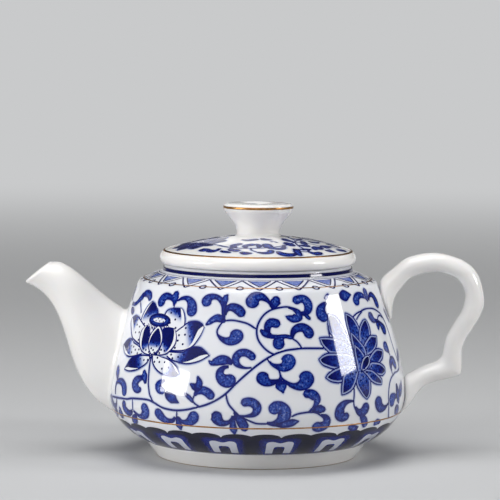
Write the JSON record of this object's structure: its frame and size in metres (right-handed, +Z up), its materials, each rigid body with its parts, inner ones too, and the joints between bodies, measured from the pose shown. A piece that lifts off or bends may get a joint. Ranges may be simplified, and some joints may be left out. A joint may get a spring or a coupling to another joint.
{
  "type": "teapot",
  "caption": "Blue-and-white porcelain teapot with low belly, domed lid that lifts off, curved spout over a pierced strainer, and ear-shaped handle.",
  "frame": {"origin": "centre of the foot ring, on the surface that the pot stands on", "axes": "+Z up, +X from the spout towards the handle, -Y the side that shows both lotus flowers"},
  "size_m": [0.1698, 0.11, 0.0936],
  "materials": {
    "painted_porcelain": "clear glossy glaze over cobalt painting",
    "white_porcelain": "clear glossy glaze",
    "fired_gold": "burnished gold line fired on the glaze"
  },
  "bodies": {
    "pot": {"pot_bowl": "painted_porcelain", "pot_wall": "painted_porcelain", "foot_ring": "white_porcelain", "neck_ring": "painted_porcelain", "spout": "white_porcelain", "handle": "white_porcelain", "shoulder_gilt": "fired_gold", "belly_gilt": "fired_gold"},
    "lid": {"lid_cover": "painted_porcelain", "lid_skirt": "white_porcelain", "lid_knob": "white_porcelain", "lid_gilt": "fired_gold", "knob_gilt": "fired_gold"}
  },
  "joints": [
    {"name": "lid_lift", "type": "slide", "parent": "pot", "child": "lid", "axis": [0, 0, 1], "range_m": [0, 0.05]}
  ]
}
